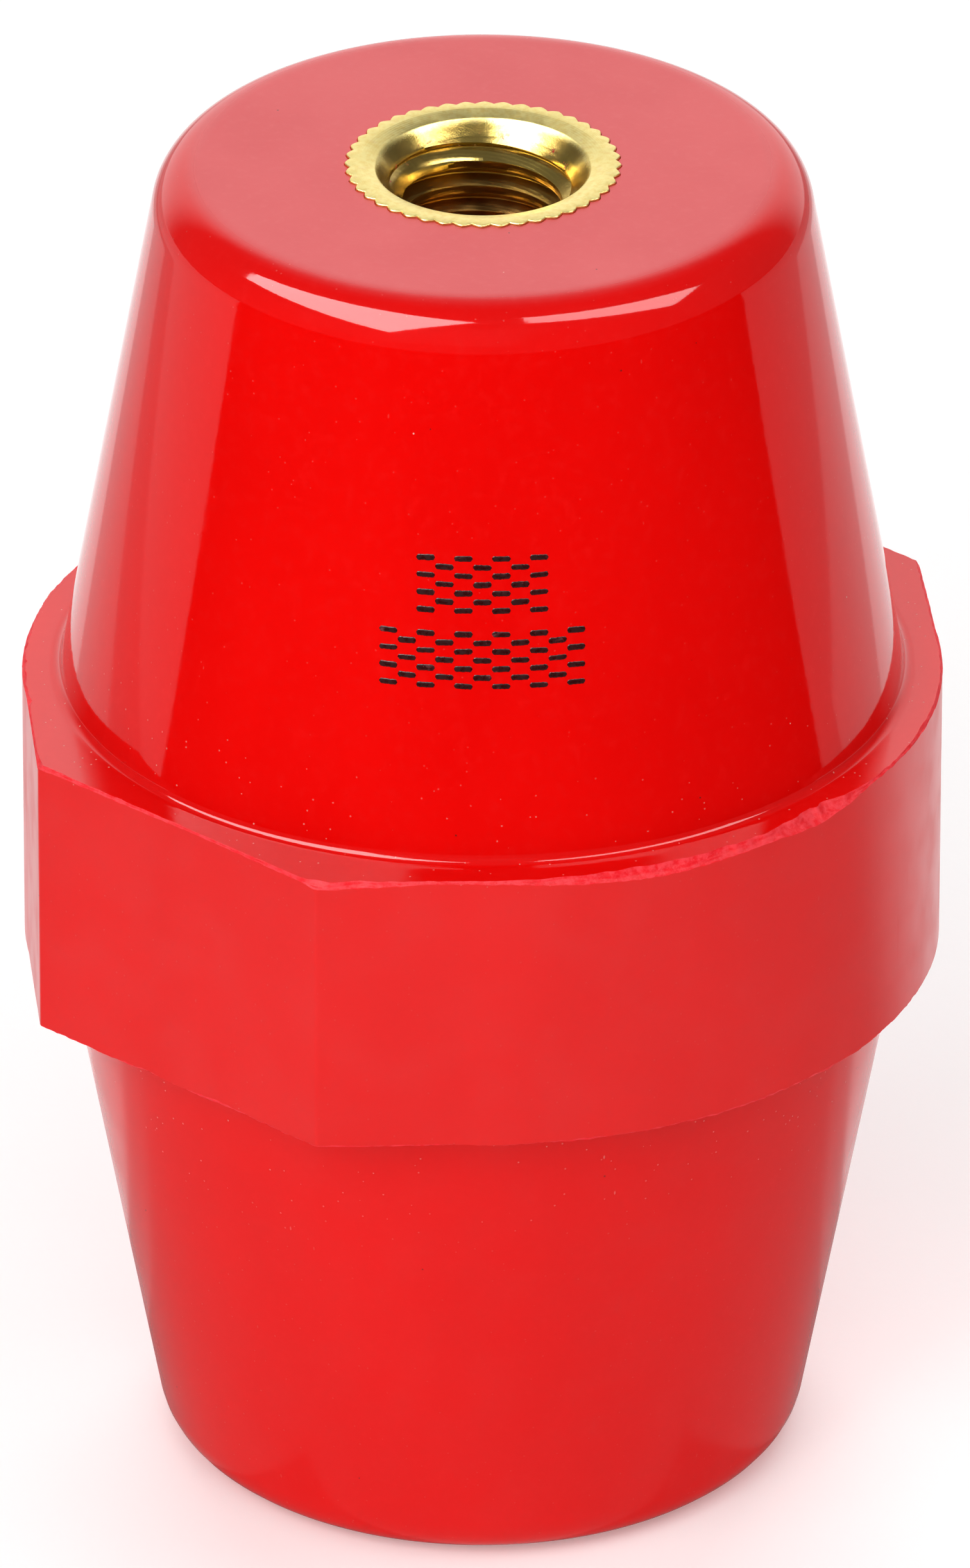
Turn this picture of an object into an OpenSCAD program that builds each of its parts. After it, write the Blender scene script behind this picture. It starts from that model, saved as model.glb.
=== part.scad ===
// Drum standoff insulator: it holds a busbar clear of the plate behind it.
// One moulded drum carries a belt round its middle, two wrench flats on the belt, and a
// knurled brass insert with a blind tapped hole moulded into each end.
// Millimetres, +Z along the drum's axis, origin at the centre of the lower contact face.
// The two wrench flats face -Y and +Y.

/* [Drum] */
// Height over the two brass contact faces
overall_h = 76; // [60:1:110]
// Diameter of each end face, before its edge is rounded
end_d = 34.4; // [26:0.2:42]
// Diameter of the cones where they meet the belt
cone_base_d = 45.4; // [43:0.1:46.4]
// Radius of the rounded edge round each end face
end_edge_r = 2.7; // [0.5:0.1:3]
// Radius of the fillet between the cone and the belt's ledge
ledge_fillet_r = 0.7; // [0.3:0.1:0.8]

/* [Belt] */
// Height of the belt
belt_h = 16; // [10:0.5:24]
// Diameter of the belt's round sides
belt_d = 49.5; // [49.5:0.1:51]
// Distance across the two wrench flats
across_flats = 49; // [48.4:0.1:49.4]
// Distance across the slanting faces next to the flats
across_corners = 49.4; // [49.1:0.1:49.4]
// Bevel along the belt's upper and lower edges
belt_bevel = 0.4; // [0.2:0.1:0.8]

/* [Inserts] */
// Length of each brass insert
insert_h = 24; // [23:0.5:27]
// Diameter over the knurl's teeth
knurl_d = 14.7; // [13.6:0.1:17]
// Number of teeth round the knurl
knurl_teeth = 44; // [36:1:52]
// Depth of the knurl's teeth
knurl_depth = 0.27; // [0.15:0.01:0.4]
// How far each insert stands out of the drum's end face
insert_proud = 0.12; // [0.05:0.01:0.3]
// Width of the anchoring groove round the insert's middle
anchor_groove_w = 4; // [2:0.5:6]
// Depth of the anchoring groove
anchor_groove_depth = 0.9; // [0.5:0.1:1.2]

/* [Tapped hole] */
// Nominal thread diameter
thread_d = 10; // [8:1:10]
// Pitch of the thread
thread_pitch = 1.5; // [1.25:0.25:1.5]
// Depth of full thread below the contact face
thread_depth = 18; // [12:0.5:18.5]
// Diameter of the countersink at its mouth
mouth_d = 11.5; // [11.3:0.1:12.6]

/* [Hidden] */
$fn = 96;

mid_z = overall_h / 2;
cut = 1; // how far a cutting shape runs past the surface it opens

// Drum, worked out upwards from the middle of its height
face_h = mid_z - insert_proud;
half_belt_h = belt_h / 2;
end_r = end_d / 2;
base_r = cone_base_d / 2;
belt_r = belt_d / 2;
flat_y = across_flats / 2;
slant_reach = across_corners / 2;
cone_tilt = atan((base_r - end_r) / (face_h - half_belt_h));
slant_turn = 43; // angle from a wrench flat to the slanting face beside it

// Centre of the rounded end edge, which touches the end face and the cone
edge_centre_z = face_h - end_edge_r;
edge_centre_r = end_r + end_edge_r * tan(cone_tilt) - end_edge_r / cos(cone_tilt);

// Centre of the ledge fillet, which touches the cone and the belt's ledge
fillet_centre_z = half_belt_h + ledge_fillet_r;
fillet_centre_r = base_r - ledge_fillet_r * tan(cone_tilt) + ledge_fillet_r / cos(cone_tilt);

// Insert and tapped hole
knurl_r = knurl_d / 2;
tooth_turn = 360 / knurl_teeth;
hole_r = (thread_d - thread_pitch) / 2;
mouth_r = mouth_d / 2;
land_r = knurl_r - 0.8; // inner edge of the flat contact land
mouth_drop = 0.2; // the mouth's edge lies this far below the land
step_r = mouth_r - 0.7; // ring where the countersink turns steeper
step_drop = mouth_drop + 0.8;
hole_top_drop = step_drop + (step_r - hole_r) * 1.3;
drill_depth = thread_depth + thread_pitch;
drill_tip_h = hole_r / tan(59); // a drill's 118 degree point

// Half outline of one end of the drum, from the middle of its height to its end face
module half_drum_outline() {
    difference() {
        union() {
            polygon([
                [0, 0],
                [belt_r, 0],
                [belt_r, half_belt_h - belt_bevel],
                [belt_r - belt_bevel, half_belt_h],
                [fillet_centre_r, half_belt_h],
                [
                    fillet_centre_r - ledge_fillet_r * cos(cone_tilt),
                    fillet_centre_z - ledge_fillet_r * sin(cone_tilt)
                ],
                [
                    edge_centre_r + end_edge_r * cos(cone_tilt),
                    edge_centre_z + end_edge_r * sin(cone_tilt)
                ],
                [edge_centre_r, face_h],
                [0, face_h]
            ]);
            translate([edge_centre_r, edge_centre_z])
                circle(r = end_edge_r);
        }
        translate([fillet_centre_r, fillet_centre_z])
            circle(r = ledge_fillet_r);
    }
}

// Full turned shape of the drum, centred on its own middle
module turned_drum() {
    rotate_extrude()
        union() {
            half_drum_outline();
            mirror([0, 1]) half_drum_outline();
        }
}

// The belt's four corners, where the flats meet the slanting faces
module belt_corner_block() {
    corner_x = (slant_reach - flat_y * cos(slant_turn)) / sin(slant_turn);
    touch_x = slant_reach * sin(slant_turn);
    touch_y = slant_reach * cos(slant_turn);
    translate([0, 0, -half_belt_h])
        linear_extrude(belt_h)
            polygon([
                [corner_x, flat_y],
                [touch_x, touch_y],
                [touch_x, -touch_y],
                [corner_x, -flat_y],
                [-corner_x, -flat_y],
                [-touch_x, -touch_y],
                [-touch_x, touch_y],
                [-corner_x, flat_y]
            ]);
}

// Three-sided bar that bevels one straight upper edge lying at the distance reach
module edge_bevel_bar(reach, length) {
    rotate([90, 0, 90])
        translate([0, half_belt_h, -length / 2])
            linear_extrude(length)
                polygon([
                    [reach - belt_bevel - cut, cut],
                    [reach + cut, cut],
                    [reach + cut, -belt_bevel - cut]
                ]);
}

module belt_bevels() {
    for (side = [0, 1])
        mirror([0, 0, side])
            for (half_turn = [0, 180]) {
                rotate(half_turn)
                    edge_bevel_bar(flat_y, belt_d);
                for (turn = [-slant_turn, slant_turn])
                    rotate(half_turn + turn)
                        edge_bevel_bar(slant_reach, belt_d);
            }
}

// Outer shape of an insert, with its contact face at z = 0 and its closed end below
module insert_blank() {
    difference() {
        translate([0, 0, -insert_h])
            linear_extrude(insert_h)
                polygon([
                    for (i = [0 : 2 * knurl_teeth - 1])
                        let (r = knurl_r - (i % 2) * knurl_depth)
                        [r * cos(i * tooth_turn / 2), r * sin(i * tooth_turn / 2)]
                ]);
        rotate_extrude()
            translate([knurl_r - anchor_groove_depth, -(insert_h + anchor_groove_w) / 2])
                square([anchor_groove_depth + cut, anchor_groove_w]);
    }
}

// Shape taken out of an insert: contact face relief, countersink, tap drill and its point.
// The hole's wall stands where the crests of the internal thread do.
module tapped_hole() {
    rotate_extrude()
        polygon([
            [0, cut],
            [land_r, cut],
            [land_r, 0],
            [mouth_r, -mouth_drop],
            [step_r, -step_drop],
            [hole_r, -hole_top_drop],
            [hole_r, -drill_depth],
            [0, -drill_depth - drill_tip_h]
        ]);
}

module knurled_insert() {
    difference() {
        insert_blank();
        tapped_hole();
    }
}

// Puts a child that was drawn facing up at the top or the bottom contact face
module at_top_face() {
    translate([0, 0, overall_h]) children();
}

module at_bottom_face() {
    rotate([180, 0, 0]) children();
}

module insulator_body() {
    color("red")
        difference() {
            translate([0, 0, mid_z])
                difference() {
                    intersection() {
                        union() {
                            turned_drum();
                            belt_corner_block();
                        }
                        cube([2 * belt_d, across_flats, 2 * overall_h], center = true);
                    }
                    belt_bevels();
                }
            at_top_face() insert_blank();
            at_bottom_face() insert_blank();
        }
}

module top_insert() {
    color("gold")
        at_top_face() knurled_insert();
}

module bottom_insert() {
    color("gold")
        at_bottom_face() knurled_insert();
}

insulator_body();
top_insert();
bottom_insert();
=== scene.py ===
import math

import bmesh
import bpy
import numpy as np
from mathutils import Matrix, Vector


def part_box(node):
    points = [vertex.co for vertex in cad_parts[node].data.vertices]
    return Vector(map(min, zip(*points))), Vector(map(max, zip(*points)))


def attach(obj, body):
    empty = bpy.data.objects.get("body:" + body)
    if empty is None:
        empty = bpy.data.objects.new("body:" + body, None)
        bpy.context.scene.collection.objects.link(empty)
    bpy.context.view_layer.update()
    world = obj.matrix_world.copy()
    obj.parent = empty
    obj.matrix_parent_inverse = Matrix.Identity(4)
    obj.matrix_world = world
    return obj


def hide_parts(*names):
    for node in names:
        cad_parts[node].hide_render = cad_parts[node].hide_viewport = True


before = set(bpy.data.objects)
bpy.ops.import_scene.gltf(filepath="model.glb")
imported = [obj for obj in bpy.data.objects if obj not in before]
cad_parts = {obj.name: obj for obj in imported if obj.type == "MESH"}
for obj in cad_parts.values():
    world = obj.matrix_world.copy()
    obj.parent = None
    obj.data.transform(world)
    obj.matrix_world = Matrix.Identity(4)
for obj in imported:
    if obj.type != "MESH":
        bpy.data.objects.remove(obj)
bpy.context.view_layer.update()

MM = 0.001
TAU = 2 * math.pi
rng = np.random.default_rng(76)

# ---------------------------------------------------------------- sizes, in millimetres

body_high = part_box("insulator_body")[1] / MM
insert_low, insert_high = (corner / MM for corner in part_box("top_insert"))

HEIGHT = insert_high.z
MID_Z = HEIGHT / 2
FACE_H = body_high.z - MID_Z
FLAT_REACH = body_high.y
BELT_R = body_high.x
SLANT_REACH = 24.7
SLANT_TURN = math.radians(43)     # from a flat to the slanting face beside it
HALF_BELT_H = 8.0
END_R = 17.2                      # cone radius at the end face, before its edge is rounded
BASE_R = 22.7                     # cone radius at the belt
EDGE_R = 2.7
FILLET_R = 0.5
TILT = math.atan((BASE_R - END_R) / (FACE_H - HALF_BELT_H))
EDGE_Z = FACE_H - EDGE_R
EDGE_CENTRE_R = END_R + EDGE_R * math.tan(TILT) - EDGE_R / math.cos(TILT)
FILLET_Z = HALF_BELT_H + FILLET_R
FILLET_CENTRE_R = BASE_R - FILLET_R * math.tan(TILT) + FILLET_R / math.cos(TILT)

INSERT_H = HEIGHT - insert_low.z
KNURL_TEETH = 44
KNURL_R = insert_high.x
KNURL_DEPTH = 0.27
KNURL_POINT = 1.4                 # above 1 the notches are narrower than the teeth
GROOVE_R = KNURL_R - 0.9
GROOVE_HALF_W = 2.0
LAND_R = KNURL_R - 0.8
MOUTH_R, MOUTH_DROP = 5.75, 0.2
STEP_R, STEP_DROP = 5.05, 1.0
HOLE_R, HOLE_TOP_DROP = 4.25, 2.04
ROOT_R = 5.0
PITCH = 1.5
THREAD_DEPTH = 18.0
DRILL_DEPTH = 19.5
DRILL_TIP = HOLE_R / math.tan(math.radians(59))

VIEW_AZIMUTH = math.radians(41.5)  # the camera stands this far round from the front flat
VIEW_ELEVATION = math.radians(28.48)


def view_angle(degrees):
    """Polar angle of the direction that lies so many degrees to the right of the camera's."""
    return -math.pi / 2 + VIEW_AZIMUTH + math.radians(degrees)


# ---------------------------------------------------------------- noise on closed rings

def ring_noise(theta, waves, seed):
    """Smooth noise round a ring, about -1 to 1, with up to so many waves."""
    terms = 24
    r = np.random.default_rng(seed)
    counts = r.integers(1, waves + 1, terms)
    phases = r.uniform(0, TAU, terms)
    value = np.zeros_like(theta)
    for count, phase in zip(counts, phases):
        value += np.cos(count * theta + phase)
    usual_peak = 3.5
    return value / usual_peak


def cell_noise(theta, cells, seed):
    """Ragged noise round a ring, 0 to 1: random heights joined by straight lines."""
    r = np.random.default_rng(seed)
    height = r.random(cells)
    x = (theta % TAU) / TAU * cells
    i = np.floor(x).astype(int)
    f = x - i
    return height[i % cells] * (1 - f) + height[(i + 1) % cells] * f


def bump_at(theta, centre, width):
    """1 at an angle, falling to 0 at so many degrees to either side."""
    away = np.abs((theta - centre + math.pi) % TAU - math.pi)
    x = np.clip(1 - away / math.radians(width), 0, 1)
    return x * x * (3 - 2 * x)


# ---------------------------------------------------------------- mesh building

def new_piece(name, verts, faces, materials, face_material=None, sharp=None):
    """A smooth-shaded mesh object, from millimetres, with chosen edges kept hard."""
    mesh = bpy.data.meshes.new(name)
    mesh.from_pydata((np.asarray(verts) * MM).tolist(), [], faces)
    mesh.polygons.foreach_set("use_smooth", [True] * len(mesh.polygons))
    for m in materials:
        mesh.materials.append(m)
    if face_material is not None:
        mesh.polygons.foreach_set("material_index", face_material)
    if sharp is not None:
        mesh.edges.foreach_set("use_edge_sharp", [sharp(*edge.vertices) for edge in mesh.edges])
    mesh.update()
    obj = bpy.data.objects.new(name, mesh)
    bpy.context.scene.collection.objects.link(obj)
    return obj


def ring_verts(rings, theta):
    """Vertices of rings round the axis, each given as its radius and height, ring after ring."""
    verts = np.zeros((len(rings), len(theta), 3))
    for i, (r, z) in enumerate(rings):
        verts[i, :, 0] = r * np.cos(theta)
        verts[i, :, 1] = r * np.sin(theta)
        verts[i, :, 2] = z
    return verts.reshape(-1, 3)


def add_attribute(obj, name, values):
    """A number for each vertex, which the materials read by its name."""
    layer = obj.data.attributes.new(name, "FLOAT", "POINT")
    layer.data.foreach_set("value", np.asarray(values, np.float32))


# ---------------------------------------------------------------- materials

class Shader:
    """A small wrapper that writes a node tree."""

    def __init__(self, name):
        self.material = bpy.data.materials.new(name)
        self.material.use_nodes = True
        self.tree = self.material.node_tree
        self.tree.nodes.clear()
        self.out = self.tree.nodes.new("ShaderNodeOutputMaterial")
        self.bsdf = self.tree.nodes.new("ShaderNodeBsdfPrincipled")
        self.link(self.bsdf.outputs[0], self.out.inputs[0])
        coord = self.tree.nodes.new("ShaderNodeTexCoord")
        self.mm = self.vector("SCALE", coord.outputs["Object"], scale=1 / MM)

    def link(self, a, b):
        self.tree.links.new(a, b)

    def put(self, socket, value):
        if isinstance(value, bpy.types.NodeSocket):
            self.link(value, socket)
        elif isinstance(value, (tuple, list)) and len(value) == 3 and socket.type == "RGBA":
            socket.default_value = (*value, 1)
        else:
            socket.default_value = value

    def node(self, kind, inputs=(), **settings):
        n = self.tree.nodes.new(kind)
        for key, value in settings.items():
            setattr(n, key, value)
        for key, value in dict(inputs).items():
            self.put(n.inputs[key], value)
        return n

    def vector(self, operation, a, b=None, scale=None):
        n = self.node("ShaderNodeVectorMath", operation=operation)
        self.put(n.inputs[0], a)
        if b is not None:
            self.put(n.inputs[1], b)
        if scale is not None:
            self.put(n.inputs["Scale"], scale)
        return n.outputs["Vector"]

    def math(self, operation, a, b=0.0, clamp=False):
        n = self.node("ShaderNodeMath", operation=operation, use_clamp=clamp)
        self.put(n.inputs[0], a)
        self.put(n.inputs[1], b)
        return n.outputs[0]

    def stretched(self, stretch):
        """The place in millimetres, with each axis multiplied."""
        return self.mm if stretch is None else self.vector("MULTIPLY", self.mm, stretch)

    def noise(self, scale, detail, roughness, stretch=None):
        at = self.stretched(stretch)
        settings = {"Vector": at, "Scale": scale, "Detail": detail, "Roughness": roughness}
        return self.node("ShaderNodeTexNoise", settings).outputs[0]

    def ramp(self, value, low, high, to_low=0.0, to_high=1.0):
        """A smooth step from one level to another as the value goes from low to high."""
        span = {"Value": value, "From Min": low, "From Max": high, "To Min": to_low, "To Max": to_high}
        return self.node("ShaderNodeMapRange", span, interpolation_type="SMOOTHSTEP").outputs[0]

    def mix(self, factor, a, b):
        n = self.node("ShaderNodeMix", data_type="RGBA")
        self.put(n.inputs[0], factor)
        self.put(n.inputs[6], a)
        self.put(n.inputs[7], b)
        return n.outputs[2]

    def specks(self, per_mm, radius, share, stretch=None):
        """1 inside small round specks: one cell in so many holds one."""
        at = self.stretched(stretch)
        n = self.node("ShaderNodeTexVoronoi", {"Vector": at, "Scale": per_mm, "Randomness": 1.0})
        inside = self.math("LESS_THAN", n.outputs["Distance"], radius * per_mm)
        colour = self.node("ShaderNodeSeparateColor")
        self.link(n.outputs["Color"], colour.inputs[0])
        chosen = self.math("LESS_THAN", colour.outputs[0], share)
        return self.math("MULTIPLY", inside, chosen)

    def attribute(self, name):
        return self.node("ShaderNodeAttribute", attribute_name=name).outputs["Fac"]

    def separate(self, vector):
        n = self.node("ShaderNodeSeparateXYZ")
        self.link(vector, n.inputs[0])
        return n.outputs

    def bump(self, layers):
        """Bump from (height, depth in millimetres) layers, one upon the other."""
        normal = None
        for height, depth in layers:
            n = self.node("ShaderNodeBump", {"Height": height, "Distance": depth * MM, "Strength": 1.0})
            if normal is not None:
                self.link(normal, n.inputs["Normal"])
            normal = n.outputs[0]
        self.link(normal, self.bsdf.inputs["Normal"])


RED = (0.80, 0.0020, 0.0014)
RED_DEEP = (0.765, 0.0016, 0.0011)
RED_PALE = (0.83, 0.010, 0.009)
DUST = (0.86, 0.46, 0.38)
DARK_SPECK = (0.10, 0.012, 0.010)
# End-face colours: paler and pinker than the resin, a painted sheen on top of the real reflection from the
# satin faces
FACE_RED = (0.73, 0.060, 0.064)
FACE_DEEP = (0.69, 0.045, 0.050)
FACE_PALE = (0.75, 0.090, 0.095)
FACE_ROUGHNESS = 0.34


def plastic(name, roughness, ior=1.45, dust=0.10, orange_peel=0.0016, wave=0.004, cloudy=0.35):
    """Moulded polyester compound: cloudy red resin with specks and hairlines, duller on the end faces where
    the worn attribute is set, and paler there as a painted sheen.
    """
    s = Shader(name)
    cloud = s.ramp(s.noise(0.16, 1.5, 0.5, stretch=(1.0, 1.0, 0.45)), 0.25, 0.75)
    colour = s.mix(cloud, RED, RED_DEEP)
    mottle = s.ramp(s.noise(1.7, 4.0, 0.6), 0.45, 0.85)
    colour = s.mix(s.math("MULTIPLY", mottle, cloudy), colour, RED_PALE)
    # The worn attribute marks the end faces: their rougher satin finish is real, their paler colour is
    # painted sheen
    worn = s.attribute("worn")
    # Painted sheen: the end faces take the paler, pinker colours
    face_colour_painted_sheen = s.mix(s.math("MULTIPLY", mottle, 0.35), s.mix(cloud, FACE_RED, FACE_DEEP), FACE_PALE)
    colour = s.mix(worn, colour, face_colour_painted_sheen)
    dark_specks = s.specks(0.8, 0.055, 0.05)
    colour = s.mix(s.math("MULTIPLY", dark_specks, 0.8), colour, DARK_SPECK)
    dusty = s.attribute("dust")
    near = s.specks(1.7, 0.050, 0.70)
    far = s.specks(0.55, 0.05, dust)
    lint = s.specks(0.9, 0.05, 0.25, stretch=(1.0, 1.0, 0.35))
    specks = s.math("MAXIMUM", far, s.math("MULTIPLY", lint, dusty))
    specks = s.math("MAXIMUM", s.math("MULTIPLY", near, dusty), specks)
    colour = s.mix(s.math("MULTIPLY", specks, 0.75), colour, DUST)
    s.link(colour, s.bsdf.inputs["Base Color"])
    smear = s.ramp(s.noise(0.35, 2.5, 0.5), 0.35, 0.80)
    hair = s.ramp(s.noise(2.2, 2.0, 0.4, stretch=(1.0, 1.0, 0.12)), 0.70, 0.76)
    rough = s.math("ADD", s.math("MULTIPLY", smear, 0.3 * roughness), roughness)
    rough = s.math("ADD", rough, s.math("MULTIPLY", hair, 0.05))
    rough = s.math("ADD", rough, s.math("MULTIPLY", worn, FACE_ROUGHNESS - roughness))
    rough = s.math("ADD", rough, s.math("MULTIPLY", specks, 0.4), clamp=True)
    s.link(rough, s.bsdf.inputs["Roughness"])
    s.bsdf.inputs["IOR"].default_value = ior
    haze = s.math("MULTIPLY", s.noise(14.0, 3.0, 0.6), worn)
    slow, fine = s.noise(0.16, 2.0, 0.4), s.noise(3.4, 3.0, 0.5)
    s.bump([(slow, wave), (fine, orange_peel), (haze, 0.002), (specks, 0.012)])
    return s.material


def deflashed(name):
    """The belt's scraped edge: torn resin, paler and rough, with glass fibre ends."""
    s = Shader(name)
    tear = s.noise(2.6, 6.0, 0.68)
    colour = s.mix(s.ramp(tear, 0.38, 0.62), (0.90, 0.006, 0.014), (0.96, 0.040, 0.056))
    fibre = s.ramp(s.noise(9.0, 3.0, 0.6), 0.58, 0.70)
    colour = s.mix(s.math("MULTIPLY", fibre, 0.22), colour, (0.96, 0.13, 0.15))
    s.link(colour, s.bsdf.inputs["Base Color"])
    s.link(s.ramp(tear, 0.3, 0.7, 0.38, 0.62), s.bsdf.inputs["Roughness"])
    s.bsdf.inputs["IOR"].default_value = 1.28
    s.bump([(tear, 0.030), (s.noise(11.0, 3.0, 0.5), 0.006)])
    return s.material


def brass(name):
    """Turned brass: satin land, darker inside the hole as painted shade, browner down the thread, with lathe
    lines, stains and bits of resin.
    """
    s = Shader(name)
    x, y, z = s.separate(s.mm)
    radius = s.math("SQRT", s.math("ADD", s.math("MULTIPLY", x, x), s.math("MULTIPLY", y, y)))
    off_middle = s.math("ABSOLUTE", s.math("SUBTRACT", z, MID_Z))
    drop = s.math("SUBTRACT", MID_Z, off_middle)
    stain_noise = s.noise(0.55, 5.0, 0.65)
    fine_noise = s.noise(3.0, 4.0, 0.6)
    base = s.mix(s.ramp(fine_noise, 0.35, 0.7), (0.92, 0.78, 0.31), (0.86, 0.67, 0.22))
    in_hole = s.ramp(drop, 0.22, 0.55)
    in_thread = s.ramp(drop, 1.9, 5.5)
    stained = s.math("MULTIPLY", s.ramp(stain_noise, 0.45, 0.60), in_hole)
    # Painted shade: the brass all down inside the hole is darker and browner
    base = s.mix(s.math("MULTIPLY", in_hole, 0.90), base, (0.58, 0.41, 0.105))
    base = s.mix(s.math("MULTIPLY", stained, 0.55), base, (0.36, 0.22, 0.055))
    base = s.mix(s.math("MULTIPLY", in_thread, 0.60), base, (0.62, 0.30, 0.085))
    blotches = s.ramp(s.noise(1.3, 4.0, 0.6), 0.56, 0.72)
    patina = s.math("MULTIPLY", blotches, s.math("SUBTRACT", 1.0, in_hole))
    base = s.mix(s.math("MULTIPLY", patina, 0.35), base, (0.80, 0.56, 0.26))
    from_step = s.math("ABSOLUTE", s.math("SUBTRACT", drop, STEP_DROP + 0.15))
    resin = s.math("MULTIPLY", s.ramp(from_step, 0.45, 0.10), s.ramp(s.noise(1.5, 4.0, 0.7), 0.60, 0.66))
    base = s.mix(resin, base, (0.42, 0.020, 0.008))
    s.link(base, s.bsdf.inputs["Base Color"])
    s.link(s.math("SUBTRACT", 1.0, s.math("MULTIPLY", resin, 0.9)), s.bsdf.inputs["Metallic"])
    rough = s.ramp(drop, 0.10, 0.50, 0.36, 0.17)
    rough = s.math("ADD", rough, s.ramp(stain_noise, 0.4, 0.7, 0.0, 0.10))
    s.link(rough, s.bsdf.inputs["Roughness"])
    lathe = s.math("SINE", s.math("MULTIPLY", s.math("ADD", radius, s.math("MULTIPLY", drop, 0.7)), 55.0))
    s.bump([(lathe, 0.0010), (fine_noise, 0.006), (s.noise(12.0, 3.0, 0.6), 0.002)])
    return s.material


def ink(name):
    """Jet-printed ink: brown-black, worn through to grey in places."""
    s = Shader(name)
    worn = s.ramp(s.noise(1.1, 5.0, 0.7), 0.58, 0.70)
    colour = s.mix(worn, (0.030, 0.0012, 0.0012), (0.16, 0.030, 0.034))
    s.link(colour, s.bsdf.inputs["Base Color"])
    s.link(s.ramp(s.noise(4.0, 4.0, 0.6), 0.3, 0.7, 0.18, 0.45), s.bsdf.inputs["Roughness"])
    s.bump([(s.noise(9.0, 4.0, 0.6), 0.004)])
    return s.material


def floor_paint(name):
    """Pale matt paint that glows faintly, so that the floor stays near white."""
    s = Shader(name)
    tone = s.ramp(s.noise(0.02, 4.0, 0.5), 0.3, 0.7)
    s.link(s.mix(tone, (0.86, 0.86, 0.86), (0.84, 0.84, 0.84)), s.bsdf.inputs["Base Color"])
    s.bsdf.inputs["Roughness"].default_value = 0.7
    s.bsdf.inputs["Emission Color"].default_value = (1, 1, 1, 1)
    s.bsdf.inputs["Emission Strength"].default_value = 0.24
    s.bump([(s.noise(1.5, 4.0, 0.5), 0.01)])
    return s.material


gloss = plastic("moulded_gloss", roughness=0.055)
ledge = plastic("moulded_ledge", roughness=0.12, ior=1.50, dust=0.30, orange_peel=0.002, wave=0.006)
SMOOTH = {"orange_peel": 0.001, "wave": 0.003}
belt = plastic("moulded_belt", roughness=0.28, ior=1.50, dust=0.05, cloudy=0.12, **SMOOTH)
satin = plastic("moulded_satin", roughness=0.18, ior=1.47, dust=0.08, cloudy=0.20, **SMOOTH)
torn = deflashed("moulded_torn_edge")

# ---------------------------------------------------------------- the moulded drum

TOOTH_STEPS = 22                # columns of vertices per tooth


def corner_turn():
    """Angle from a flat's normal to the corner where the slanting face begins."""
    return math.atan((SLANT_REACH / FLAT_REACH - math.cos(SLANT_TURN)) / math.sin(SLANT_TURN))


def ring_angles():
    """Even steps round the ring, with closer ones at the belt's four corners."""
    even = np.arange(KNURL_TEETH * TOOTH_STEPS) * TAU / (KNURL_TEETH * TOOTH_STEPS)
    near = np.radians([-0.30, -0.18, -0.09, 0.0, 0.09, 0.18, 0.30])
    corners = [side * math.pi / 2 + sign * corner_turn() for side in (1, -1) for sign in (1, -1)]
    extra = np.concatenate([(corner + near) % TAU for corner in corners])
    clear = math.radians(0.06)
    keep = [np.min(np.abs((a - extra + math.pi) % TAU - math.pi)) > clear for a in even]
    return np.sort(np.concatenate([even[np.array(keep)], extra]))


THETA = ring_angles()
COUNT = len(THETA)
FAR = 1e3                       # stands in where the flat has no face
FLAT_TURN = np.abs((THETA + math.pi) % math.pi - math.pi / 2)  # angle from the nearer flat's normal


def knurl_radius(theta):
    phase = (theta / TAU * KNURL_TEETH) % 1.0
    return KNURL_R - KNURL_DEPTH * (1 - np.abs(1 - 2 * phase)) ** KNURL_POINT


def soft_min(a, b, width):
    """The smaller of two values, with the corner between them rounded."""
    blend = np.clip(width - np.abs(a - b), 0, None) / width
    return np.minimum(a, b) - blend * blend * width / 4


def belt_radius(inset):
    """Radius of the belt's outline, moved inwards by so much."""
    flat_part = (FLAT_REACH - inset) / np.cos(FLAT_TURN)
    flat_part = np.where(FLAT_TURN < 1.2, flat_part, FAR)
    slant_part = (SLANT_REACH - inset) / np.cos(SLANT_TURN - FLAT_TURN)
    slant_part = np.where(FLAT_TURN < SLANT_TURN, slant_part, 0)
    return soft_min(flat_part, np.maximum(BELT_R - inset, slant_part), 0.10)


def torn_width(seed, thin, ragged, chips):
    """How far the scraped edge reaches, round the belt."""
    slow = 0.5 + 0.5 * np.clip(ring_noise(THETA, 14, seed), -1, 1)
    fine = cell_noise(THETA, 330, seed + 1) * 0.6 + cell_noise(THETA, 700, seed + 2) * 0.4
    spots = np.clip(cell_noise(THETA, 90, seed + 3) - 0.72, 0, 1) / 0.28
    return thin + ragged * (0.25 + 0.75 * slow) * fine + chips * spots * fine


def arc(centre_r, centre_z, radius, start, stop, steps):
    """Points of an arc as (r, z), angles in radians from the outward direction."""
    angles = np.linspace(start, stop, steps)
    return [(centre_r + radius * math.cos(a), centre_z + radius * math.sin(a)) for a in angles]


GLOSS, LEDGE, BELT, TORN, SATIN = range(5)
FINISH_AND_SHEEN_PART = 0.34                # the end face's satin finish and painted sheen fade out over this part of its rounded edge
SEAT_GAP = 0.035                # fine gap between the moulding and the insert's knurl


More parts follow.
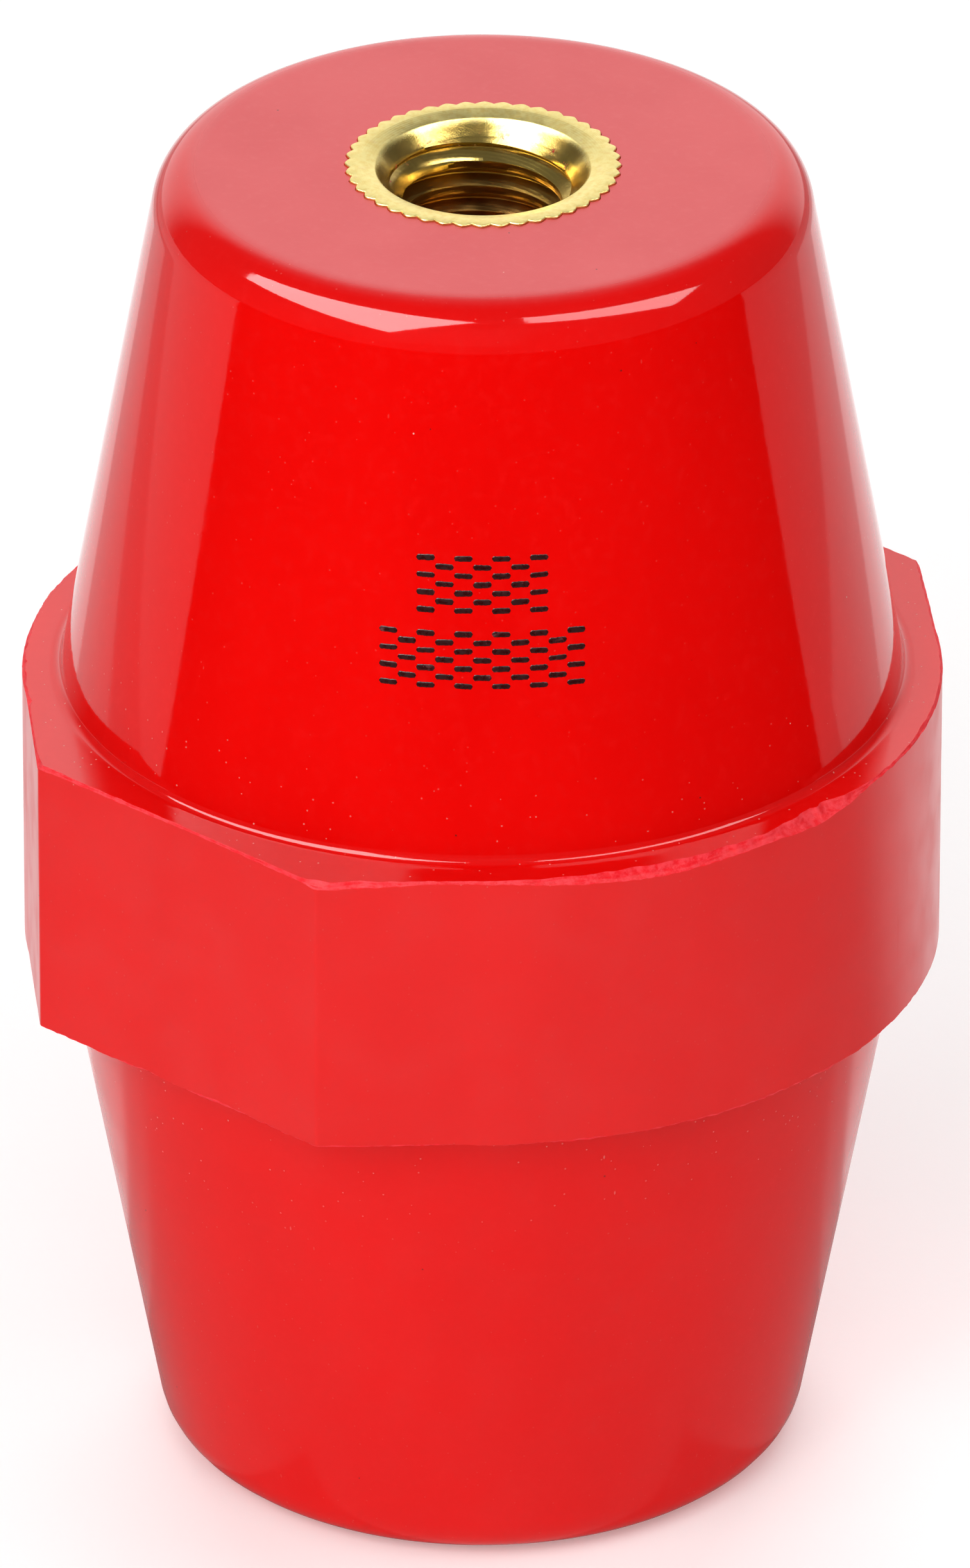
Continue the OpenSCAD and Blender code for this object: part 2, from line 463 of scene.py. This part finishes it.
def upper_tear():
    """How far the scraped upper edge reaches inwards and downwards, widest to the right of the camera."""
    wide = bump_at(THETA, view_angle(46), 13)
    soft = np.maximum(bump_at(THETA, view_angle(25), 34), wide)
    on_flat = np.clip((corner_turn() - FLAT_TURN) / 0.05, 0, 1)
    inset = torn_width(11, 0.08, 0.20, 0.25) * (1 - 0.45 * on_flat)
    inset += soft * (0.10 + 0.22 * cell_noise(THETA, 260, 7))
    inset += 0.50 * wide * (0.5 + 0.5 * cell_noise(THETA, 400, 5))
    inset += 0.30 * bump_at(THETA, -math.pi / 2 + corner_turn(), 1.8)
    drop = 0.08 + 0.16 * (0.5 + 0.5 * ring_noise(THETA, 10, 21)) + 0.10 * cell_noise(THETA, 500, 22)
    drop = drop * (1 - 0.4 * on_flat) + 0.35 * soft + 0.15 * wide
    return np.clip(inset, 0.05, 1.1), np.clip(drop, 0.06, 0.9)


def lower_tear():
    """How far the scraped lower edge reaches inwards and upwards."""
    inset = 0.08 + 0.20 * cell_noise(THETA, 80, 34) + 0.12 * cell_noise(THETA, 500, 35)
    rise = 0.06 + 0.22 * cell_noise(THETA, 60, 31) * (0.5 + 0.5 * cell_noise(THETA, 420, 32))
    rise += 0.05 * cell_noise(THETA, 800, 33)
    return inset, rise


def drum_half(upper):
    """One half's rings from its pocket's floor to the belt, with heights from the drum's middle."""
    knurl = knurl_radius(THETA)
    seat = knurl + SEAT_GAP
    side = GLOSS if upper else SATIN
    floor_z = MID_Z - INSERT_H
    mid_groove = MID_Z - INSERT_H / 2
    part = []

    def add(r, z, material, dust=0.0, sharp=False, worn=0.0):
        part.append((r, z, material, dust, sharp, worn))

    add(knurl, floor_z, LEDGE, sharp=True)
    add(knurl, mid_groove - GROOVE_HALF_W, LEDGE, sharp=True)
    add(GROOVE_R, mid_groove - GROOVE_HALF_W, LEDGE, sharp=True)
    add(GROOVE_R, mid_groove + GROOVE_HALF_W, LEDGE, sharp=True)
    add(knurl, mid_groove + GROOVE_HALF_W, LEDGE, sharp=True)
    add(knurl, FACE_H - 0.30, LEDGE, sharp=True)
    add(seat, FACE_H - 0.12, LEDGE)
    # From here out to the rounded edge, worn gives the end face its satin finish and its painted sheen
    add(seat + 0.01, FACE_H - 0.015, side, sharp=True, worn=1.0)
    for outwards in (0.04, 0.07, 0.16):
        add(seat + outwards, FACE_H, side, worn=1.0)
    for r in (8.6, 11.5, 14.0) if upper else (9.0, 13.0):
        add(r, FACE_H, side, 0.05, worn=1.0)
    add(EDGE_CENTRE_R - 0.15, FACE_H, side, 0.1, worn=1.0)
    steps = 15 if upper else 8
    for i, (r, z) in enumerate(arc(EDGE_CENTRE_R, EDGE_Z, EDGE_R, math.pi / 2, TILT, steps)):
        finish_and_sheen = np.clip(1 - i / (steps - 1) / FINISH_AND_SHEEN_PART, 0, 1)
        add(r, z, side, 0.1, worn=finish_and_sheen * finish_and_sheen * (3 - 2 * finish_and_sheen))
    foot_r = FILLET_CENTRE_R - FILLET_R * math.cos(TILT)
    foot_z = FILLET_Z - FILLET_R * math.sin(TILT)
    head_r = EDGE_CENTRE_R + EDGE_R * math.cos(TILT)
    head_z = EDGE_Z + EDGE_R * math.sin(TILT)
    for f in ((0.006, 0.4, 0.8, 0.9, 0.992) if upper else (0.006, 0.33, 0.66, 0.992)):
        dust = 0.08 + 2.5 * max(0, f - 0.8)
        add(head_r + (foot_r - head_r) * f, head_z + (foot_z - head_z) * f, side, dust)
    steps = 8 if upper else 6
    for r, z in arc(FILLET_CENTRE_R, FILLET_Z, FILLET_R, math.pi + TILT, 1.5 * math.pi, steps):
        add(r, z, side, 0.9)
    return part


def build_drum():
    """The moulding as rings, from the upper pocket's floor over the belt to the lower pocket's floor."""
    rings = []      # per ring: radius, height, material of the band that follows it, dust, end-face finish and painted sheen
    sharp_rings = set()

    def ring(r, z, material, dust=0.0, sharp=False, worn=0.0):
        if sharp:
            sharp_rings.add(len(rings))
        rings.append((np.broadcast_to(r, COUNT), np.broadcast_to(z, COUNT), material, dust, worn))

    for r, z, material, dust, sharp, worn in drum_half(True):
        ring(r, MID_Z + z, material, dust, sharp, worn)

    # Upper ledge and scraped upper edge
    inset, drop = upper_tear()
    top_z = MID_Z + HALF_BELT_H
    inner = belt_radius(0) - inset
    for f in (0.10, 0.45, 0.85):
        ring(FILLET_CENTRE_R + (inner - FILLET_CENTRE_R) * f, top_z, LEDGE, 1.0 - 0.5 * f)
    steps = 9
    for i in range(steps):
        f = i / (steps - 1)
        r = inner + (belt_radius(0) - inner) * f
        z = top_z - drop * f
        if 0 < i < steps - 1:
            rough = 0.050 * (cell_noise(THETA, 300, 40 + i) - 0.5)
            rough += 0.015 * (cell_noise(THETA, 800, 60 + i) - 0.5)
            rough = rough * np.minimum(1, 2.2 * (inset + drop))
            belly = 0.06 * math.sin(math.pi * f) * (inset + drop)
            r = r + rough - belly * 0.7 + 0.02
            z = z + rough - belly * 0.7 - 0.01
        ring(r, z, TORN if i < steps - 1 else BELT, 0.4, sharp=(i in (0, steps - 1)))

    # Belt side, scraped lower edge and lower ledge
    low_inset, low_rise = lower_tear()
    low_z = MID_Z - HALF_BELT_H
    side_top = top_z - drop
    side_low = low_z + low_rise
    for f in (0.02, 0.5, 0.98):
        ring(belt_radius(0), side_top + (side_low - side_top) * f, BELT, 0.1)
    steps = 6
    low_inner = belt_radius(0) - low_inset
    for i in range(steps):
        f = i / (steps - 1)
        r = belt_radius(0) + (low_inner - belt_radius(0)) * f
        z = side_low - low_rise * f
        if 0 < i < steps - 1:
            rough = 0.05 * (cell_noise(THETA, 420, 80 + i) - 0.5)
            r = r + rough + 0.02 * math.sin(math.pi * f)
            z = np.maximum(z - rough, low_z)
        ring(r, z, TORN if i < steps - 1 else LEDGE, 0.2, sharp=(i in (0, steps - 1)))
    for f in (0.5, 0.9):
        ring(low_inner + (FILLET_CENTRE_R - low_inner) * f, low_z, LEDGE, 0.1)

    # The lower half runs backwards, so a band takes its material from the ring at its other side
    lower = drum_half(False)
    for i in reversed(range(len(lower))):
        r, z, _, dust, sharp, worn = lower[i]
        material = lower[i - 1][2] if i > 0 else LEDGE
        ring(r, MID_Z - z, material, dust, sharp, worn)

    verts = ring_verts([(r, z) for r, z, _, _, _ in rings], THETA)
    top_pole, low_pole = len(verts), len(verts) + 1
    verts = np.vstack([verts, [[0, 0, rings[0][1][0]], [0, 0, rings[-1][1][0]]]])
    faces, index = [], []
    last = (len(rings) - 1) * COUNT
    for i in range(len(rings) - 1):
        a, b = i * COUNT, (i + 1) * COUNT
        for j in range(COUNT):
            after = (j + 1) % COUNT
            faces.append((a + j, b + j, b + after, a + after))
        index += [rings[i][2]] * COUNT
    for j in range(COUNT):
        after = (j + 1) % COUNT
        faces.append((top_pole, j, after))
        faces.append((low_pole, last + after, last + j))
    index += [LEDGE] * (2 * COUNT)

    def is_sharp(a, b):
        return a // COUNT == b // COUNT and a // COUNT in sharp_rings

    body = new_piece("drum_moulding", verts, faces, [gloss, ledge, belt, torn, satin], index, is_sharp)
    dusty_side = 0.7 + 0.6 * bump_at(THETA, view_angle(-45), 40)
    dust = [ring_dust * dusty_side for _, _, _, ring_dust, _ in rings]
    worn = [np.full(COUNT, ring_finish_and_sheen) for _, _, _, _, ring_finish_and_sheen in rings]
    poles = [0, 0]
    add_attribute(body, "dust", np.concatenate([*dust, poles]))
    # worn: the end face's satin finish, and its paler colour painted as sheen
    add_attribute(body, "worn", np.concatenate([*worn, poles]))
    return body


drum = build_drum()
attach(drum, "root")
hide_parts("insulator_body")

# ---------------------------------------------------------------- the brass inserts

INSERT_STEPS = 8                # columns of vertices per tooth
INSERT_THETA = np.arange(KNURL_TEETH * INSERT_STEPS) * TAU / (KNURL_TEETH * INSERT_STEPS)
SPIRAL_LOW, SPIRAL_HIGH = -DRILL_DEPTH, -STEP_DROP
HARD_EDGE = math.radians(28)


def thread_rows():
    """Heights within one pitch and the radii there: crest, flank, root and flank."""
    flank = (ROOT_R - HOLE_R) * math.tan(math.radians(30))
    root = PITCH / 8
    crest = PITCH - root - 2 * flank
    return [
        (0.00, HOLE_R + 0.015),
        (0.05, HOLE_R),
        (crest - 0.05, HOLE_R),
        (crest, HOLE_R + 0.015),
        (crest + 0.33 * flank, HOLE_R + 0.33 * (ROOT_R - HOLE_R)),
        (crest + 0.66 * flank, HOLE_R + 0.66 * (ROOT_R - HOLE_R)),
        (crest + 0.96 * flank, ROOT_R - 0.03),
        (crest + flank + 0.3 * root, ROOT_R),
        (crest + flank + 0.7 * root, ROOT_R),
        (crest + 1.04 * flank + root, ROOT_R - 0.03),
        (crest + 1.34 * flank + root, HOLE_R + 0.66 * (ROOT_R - HOLE_R)),
        (crest + 1.67 * flank + root, HOLE_R + 0.33 * (ROOT_R - HOLE_R)),
    ]


def hole_radius(z):
    """Radius of the hole without its thread: the countersink's lower cone, then the drill's wall."""
    cone = STEP_R + (z + STEP_DROP) * (STEP_R - HOLE_R) / (HOLE_TOP_DROP - STEP_DROP)
    return np.maximum(HOLE_R, np.where(z > -HOLE_TOP_DROP, cone, HOLE_R))


def thread_rings():
    """The threaded hole's rings, which climb by one pitch on their way round and stop at its two ends."""
    rows = thread_rows()
    turns = int(math.ceil((SPIRAL_HIGH - SPIRAL_LOW) / PITCH)) + 2
    rings = []
    for k in range((turns + 1) * len(rows)):
        turn, step = divmod(k, len(rows))
        height, radius = rows[step]
        z = SPIRAL_LOW - PITCH + turn * PITCH + height + PITCH * INSERT_THETA / TAU
        grow = np.clip((z + THREAD_DEPTH + 0.2) / PITCH, 0, 1)
        z = np.clip(z, SPIRAL_LOW, SPIRAL_HIGH)
        r = np.maximum(hole_radius(z), HOLE_R + (radius - HOLE_R) * grow)
        r = np.where(z <= SPIRAL_LOW, HOLE_R, np.where(z >= SPIRAL_HIGH, STEP_R, r))
        rings.append((r, z))
    return rings


def outer_rings():
    """The rings that follow the thread: countersink, land, knurl, groove and closed end."""
    knurl = knurl_radius(INSERT_THETA)
    groove_z = -INSERT_H / 2
    return [
        (STEP_R + 0.04, -STEP_DROP + 0.06),
        (MOUTH_R - 0.05, -MOUTH_DROP - 0.07),
        (MOUTH_R, -MOUTH_DROP - 0.005),
        (MOUTH_R + 0.05, -MOUTH_DROP + 0.02),
        (LAND_R - 0.08, -0.02),
        (LAND_R + 0.02, 0.0),
        (knurl - 0.10, 0.0),
        (knurl - 0.03, -0.012),
        (knurl, -0.05),
        (knurl, -0.40),
        (knurl, groove_z + GROOVE_HALF_W),
        (GROOVE_R, groove_z + GROOVE_HALF_W),
        (GROOVE_R, groove_z - GROOVE_HALF_W),
        (knurl, groove_z - GROOVE_HALF_W),
        (knurl, -INSERT_H + 0.05),
        (knurl - 0.05, -INSERT_H),
    ]


def build_insert(name, brass_material):
    """A knurled bush with a right-handed thread: rings up the hole, over the land and down the knurl."""
    count = len(INSERT_THETA)
    tip_r = 0.6
    tip_z = -DRILL_DEPTH - DRILL_TIP + tip_r * DRILL_TIP / HOLE_R
    thread = thread_rings()
    rings = [(tip_r, tip_z), *thread, *outer_rings()]
    first_spiral, last_spiral = 1, len(thread)
    per_turn = len(thread_rows())
    k = len(rings)
    verts = ring_verts(rings, INSERT_THETA)
    # Rows of the spiral that lie beyond its ends fold into one ring there
    number = np.arange(k * count).reshape(k, count)
    for i in range(first_spiral, last_spiral + 1):
        z = rings[i][1]
        number[i] = np.where(z <= SPIRAL_LOW, number[first_spiral], number[i])
        number[i] = np.where(z >= SPIRAL_HIGH, number[last_spiral], number[i])
    faces = []

    def face_of(corners):
        loop = []
        for c in corners:
            c = int(c)
            if c not in loop:
                loop.append(c)
        if len(loop) >= 3:
            faces.append(tuple(loop))

    for i in range(k - 1):
        spiral = first_spiral <= i < last_spiral
        for j in range(count - 1):
            face_of((number[i, j], number[i + 1, j], number[i + 1, j + 1], number[i, j + 1]))
        if spiral:
            # the last column meets the first one pitch further up the spiral
            up_0 = min(i + per_turn, last_spiral)
            up_1 = min(i + 1 + per_turn, last_spiral)
            face_of((number[i, -1], number[i + 1, -1], number[up_1, 0], number[up_0, 0]))
        else:
            face_of((number[i, -1], number[i + 1, -1], number[i + 1, 0], number[i, 0]))
    tip, base = len(verts), len(verts) + 1
    verts = np.vstack([verts, [[0, 0, -DRILL_DEPTH - DRILL_TIP], [0, 0, -INSERT_H]]])
    for j in range(count):
        faces.append((tip, int(number[0, j]), int(number[0, (j + 1) % count])))
        faces.append((base, int(number[k - 1, (j + 1) % count]), int(number[k - 1, j])))
    used = np.unique([v for f in faces for v in f])
    remap = np.full(len(verts), -1)
    remap[used] = np.arange(len(used))
    faces = [tuple(int(remap[v]) for v in f) for f in faces]
    verts = verts[used]
    verts[:, 2] += HEIGHT
    if name.startswith("bottom"):
        verts = verts * (1, -1, -1) + (0, 0, HEIGHT)
    obj = new_piece(name, verts, faces, [brass_material])
    mark_sharp(obj, HARD_EDGE)
    return obj


def mark_sharp(obj, angle):
    """Edges that turn more than an angle shade as hard edges."""
    work = bmesh.new()
    work.from_mesh(obj.data)
    for e in work.edges:
        if len(e.link_faces) == 2 and e.calc_face_angle(0) > angle:
            e.smooth = False
    work.to_mesh(obj.data)
    work.free()


brass_material = brass("insert_brass_turned")
for name, node in (("top_insert_turned", "top_insert"), ("bottom_insert_turned", "bottom_insert")):
    piece = build_insert(name, brass_material)
    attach(piece, "root")
    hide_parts(node)

# ---------------------------------------------------------------- printed marks: plain bars, no lettering

def brick_rows(columns, lines=7):
    """Lines of short bars, each line shifted against the one above like bricks."""
    return ["".join("#" if (c + 2 * line) % 4 < 2 else "." for c in range(columns)) for line in range(lines)]


MARK_ROWS = [brick_rows(14), brick_rows(22)]
MARK_TOP = (62.6, 58.5)         # height of each mark's first line of bars
MARK_LINE = 0.47                # from one line of bars to the next
MARK_WIDTH = 0.50               # width of one column


def cone_point(around, height, lift):
    """A point on the upper cone: arc length round from the camera's side, height and lift off it."""
    z = height - MID_Z
    r = BASE_R + (END_R - BASE_R) * (z - HALF_BELT_H) / (FACE_H - HALF_BELT_H)
    a = view_angle(0) + around / r
    r += lift * math.cos(TILT)
    return (r * math.cos(a), r * math.sin(a), height + lift * math.sin(TILT))


def build_marks():
    """The two printed lines on the upper cone, as bars of ink."""
    verts, faces = [], []
    for rows, top in zip(MARK_ROWS, MARK_TOP):
        width = len(rows[0]) * MARK_WIDTH
        for line, text in enumerate(rows):
            start = None
            for column, sign in enumerate(text + "."):
                if sign == "#" and start is None:
                    start = column
                if sign != "#" and start is not None:
                    left = start * MARK_WIDTH - width / 2
                    right = column * MARK_WIDTH - width / 2
                    add_bar(verts, faces, left, right, top - line * MARK_LINE)
                    start = None
    return new_piece("printed_marks", verts, faces, [ink("printing_ink")])


def add_bar(verts, faces, left, right, height):
    """One bar of ink: a rounded cushion that follows the cone and stands a hair off it."""
    half_h = 0.155 + rng.uniform(-0.015, 0.015)
    sway = rng.uniform(-0.04, 0.04)
    ragged = 0.014                  # how far the ink's outline wanders
    sunk, rim, crown = -0.02, 0.006, 0.016
    round_end = 0.12
    left, right = left + 0.01, right - 0.01
    steps = max(7, int((right - left) / 0.07))
    middle = (left + right) / 2
    first = len(verts)
    for i in range(steps + 1):
        x = left + (right - left) * i / steps
        from_end = min(x - left, right - x)
        shrink = math.sqrt(max(0.04, 1 - max(0, 1 - from_end / round_end) ** 2))
        up = half_h * shrink + rng.uniform(-ragged, ragged)
        down = half_h * shrink + rng.uniform(-ragged, ragged)
        rise = sway * (x - middle)
        section = [(-down, sunk), (up, sunk), (up, rim)]
        section += [(up * 0.6, crown), (-down * 0.6, crown), (-down, rim)]
        for y, lift in section:
            verts.append(cone_point(x, height + rise + y, lift))
    n = len(section)
    for i in range(steps):
        a, b = first + i * n, first + (i + 1) * n
        for j in range(n):
            k = (j + 1) % n
            faces.append((a + j, b + j, b + k, a + k))
    faces.append(tuple(first + j for j in range(n)))
    faces.append(tuple(first + steps * n + j for j in reversed(range(n))))


marks = build_marks()
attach(marks, "root")

# ---------------------------------------------------------------- floor, lights and camera

FLOOR_REACH = 3.0
FLOOR_GAP = 0.00003             # keeps the floor clear of the lower contact face

floor_mesh = bpy.data.meshes.new("studio_floor")
floor_corners = [(x * FLOOR_REACH, y * FLOOR_REACH, 0) for x, y in ((-1, -1), (1, -1), (1, 1), (-1, 1))]
floor_mesh.from_pydata(floor_corners, [], [(0, 1, 2, 3)])
floor_mesh.materials.append(floor_paint("pale_floor"))
floor = bpy.data.objects.new("studio_floor", floor_mesh)
floor.location.z = -FLOOR_GAP
bpy.context.scene.collection.objects.link(floor)
floor.visible_glossy = False


CENTRE = Vector((0, 0, MID_Z * MM))
ABOVE = Vector((0, 0, 1))
BACKDROP = 1.25                 # radiance of the brightest part of the world


def toward(azimuth, elevation):
    """Unit vector so many degrees right of the camera's direction and above the floor."""
    a, e = view_angle(azimuth), math.radians(elevation)
    return Vector((math.cos(a) * math.cos(e), math.sin(a) * math.cos(e), math.sin(e)))


def place(right, back, up):
    """A point in millimetres right of, behind and above the object's foot, as the camera sees it."""
    out = toward(0, 0)
    return (Vector((-out.y, out.x, 0)) * right - out * back + Vector((0, 0, up))) * MM


def build_world():
    """A backdrop for reflections, bright behind the object and dim elsewhere, that no diffuse ray sees."""
    world = bpy.data.worlds.new("studio")
    world.use_nodes = True
    nodes, links = world.node_tree.nodes, world.node_tree.links
    coord = nodes.new("ShaderNodeTexCoord")

    def part_along(axis, low, high, least):
        """A smooth step along an axis, from the least value up to 1."""
        along = nodes.new("ShaderNodeVectorMath")
        along.operation = "DOT_PRODUCT"
        along.inputs[1].default_value = axis
        links.new(coord.outputs["Generated"], along.inputs[0])
        step = nodes.new("ShaderNodeMapRange")
        step.interpolation_type = "SMOOTHSTEP"
        step.inputs["From Min"].default_value = low
        step.inputs["From Max"].default_value = high
        step.inputs["To Min"].default_value = least
        links.new(along.outputs["Value"], step.inputs["Value"])
        return step.outputs[0]

    both = nodes.new("ShaderNodeMath")
    both.operation = "MULTIPLY"
    links.new(part_along(toward(180, 0), low=0.60, high=0.84, least=0.11), both.inputs[0])
    links.new(part_along(ABOVE, low=-0.085, high=-0.05, least=0.0), both.inputs[1])
    strength = nodes.new("ShaderNodeMath")
    strength.operation = "MULTIPLY"
    strength.inputs[1].default_value = BACKDROP
    links.new(both.outputs[0], strength.inputs[0])
    background = nodes["Background"]
    background.inputs[0].default_value = (1, 1, 1, 1)
    links.new(strength.outputs[0], background.inputs[1])
    world.cycles_visibility.diffuse = False
    bpy.context.scene.world = world


def panel(name, centre, faces_to, width, height, radiance, shows, along=None):
    """A rectangular light, in metres, that only diffuse or only glossy rays see.

    Its width is level, or lies along a direction.
    """
    light = bpy.data.lights.new(name, "AREA")
    light.shape = "RECTANGLE"
    light.size, light.size_y = width, height
    light.energy = radiance * math.pi * width * height
    obj = bpy.data.objects.new(name, light)
    bpy.context.scene.collection.objects.link(obj)
    z = -(faces_to - centre).normalized()
    x = (along or ABOVE.cross(z)).normalized()
    y = z.cross(x).normalized()
    z = x.cross(y)
    obj.matrix_world = Matrix.Translation(centre) @ Matrix((x, y, z)).transposed().to_4x4()
    obj.visible_camera = False
    obj.visible_diffuse = shows != "glossy"
    obj.visible_glossy = shows != "diffuse"


def softbox(name, azimuth, elevation, distance, width, height, radiance):
    """A soft light that reflections don't show, so many degrees right of the camera and above the floor."""
    centre = CENTRE + toward(azimuth, elevation) * distance
    panel(name, centre, CENTRE, width, height, radiance, "diffuse")


def glint(name, left, right, height, radiance):
    """A strip light that only reflections see, between two (azimuth, elevation, distance) points."""
    ends = (left, right)
    start, stop = (CENTRE + toward(azimuth, elevation) * distance for azimuth, elevation, distance in ends)
    along = stop - start
    panel(name, (start + stop) / 2, CENTRE, along.length, height, radiance, "glossy", along)


build_world()
softbox("key_softbox", -45, 30, 0.42, 0.315, 0.28, 2.10)
softbox("front_softbox", -10, 34, 0.34, 0.255, 0.226, 2.85)
softbox("high_left_softbox", -45, 58, 0.60, 0.45, 0.40, 0.55)
softbox("high_right_softbox", 45, 58, 0.60, 0.45, 0.40, 1.15)
softbox("right_softbox", 95, 25, 0.60, 0.45, 0.40, 1.10)
softbox("back_softbox", 180, 30, 0.70, 0.70, 0.50, 3.2)
softbox("overhead", 180, 86, 0.70, 0.50, 0.50, 0.50)
glint("key_glint", (-104, 40, 1.40), (-23, 48, 0.46), 0.33, 10.0)
glint("fill_glint", (24, 66, 0.90), (82, 38, 0.60), 0.21, 7.0)
SHEET_TURN = math.radians(3.45)
SHEET_FRONT = 8.8               # the paper's front edge runs this far behind the drum's axis


def sheet(name, left, right, front, back, up, radiance):
    """A patch of bright ground that only reflections see, in millimetres from the paper's front edge.

    Patches at different heights add up where they overlap.
    """
    x, y = (left + right) / 2, (front + back) / 2
    cos, sin = math.cos(SHEET_TURN), math.sin(SHEET_TURN)
    centre = place(x * cos - y * sin, SHEET_FRONT + x * sin + y * cos, up)
    width, depth = (right - left) * MM, (back - front) * MM
    panel(name, centre, centre + ABOVE, width, depth, radiance, "glossy", place(cos, sin, 0))


sheet("near_ground", -150, 150, -165, 0, 0.2, 0.15)
sheet("near_front", -150, 150, -165, -25, 0.4, 0.13)
sheet("near_left", -150, -16, -25, 0, 0.4, 0.13)
sheet("near_right", 16, 150, -25, 0, 0.4, 0.13)
sheet("paper", -900, 900, 0, 900, 0.2, 0.40)
sheet("paper_left", -900, -185, 0, 900, 0.4, 0.20)
sheet("paper_middle", -145, 180, 25, 900, 0.6, 0.28)
sheet("paper_behind", -85, 110, 8, 900, 0.8, 0.40)

CAMERA_DISTANCE = 1.132         # this one in metres
CAMERA_ROLL = math.radians(0.089)
AIM_HEIGHT = 38.5               # the camera looks at a point this high
AIM_RIGHT = 0.156               # and this far to the right of the drum's axis

camera_data = bpy.data.cameras.new("camera")
camera_data.sensor_fit = "HORIZONTAL"
camera_data.sensor_width = 36.0
camera_data.lens = 779.0
camera_data.clip_start = 0.05
camera_data.clip_end = 20.0
camera = bpy.data.objects.new("camera", camera_data)
bpy.context.scene.collection.objects.link(camera)
bpy.context.scene.camera = camera
sight = toward(0, math.degrees(VIEW_ELEVATION))
side = Vector((-sight.y, sight.x, 0)).normalized()
aim = Vector((0, 0, AIM_HEIGHT * MM)) + side * AIM_RIGHT * MM
camera.location = aim + sight * CAMERA_DISTANCE
level = sight.to_track_quat("Z", "Y").to_matrix().to_4x4()
camera.rotation_euler = (level @ Matrix.Rotation(CAMERA_ROLL, 4, "Z")).to_euler()

bpy.context.scene.view_settings.view_transform = "Standard"
